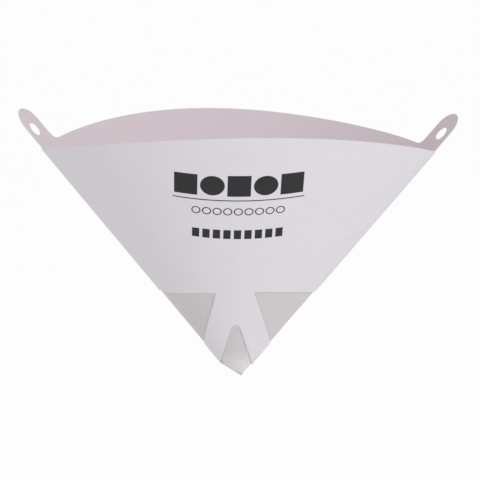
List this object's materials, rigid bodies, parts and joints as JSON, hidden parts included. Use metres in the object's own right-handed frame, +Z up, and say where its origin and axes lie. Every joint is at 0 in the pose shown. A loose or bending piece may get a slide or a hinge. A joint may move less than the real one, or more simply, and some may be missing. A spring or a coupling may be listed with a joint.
{
  "type": "paint strainer",
  "caption": "Disposable paper cone paint strainer, opened for use, with two punched hanging ears, windows and a fine nylon mesh tip.",
  "frame": {"origin": "halfway between the centres of the two hanging holes", "axes": "+Z up, from the tip to the open rim; +X across from the left side crease to the right one; -Y towards the printed front"},
  "size_m": [0.1792, 0.127, 0.1091],
  "materials": {
    "coated_paper": "matte",
    "nylon_mesh": "satin"
  },
  "bodies": {
    "root": {"paper_cone": "coated_paper", "mesh_filter": "nylon_mesh"}
  },
  "joints": []
}
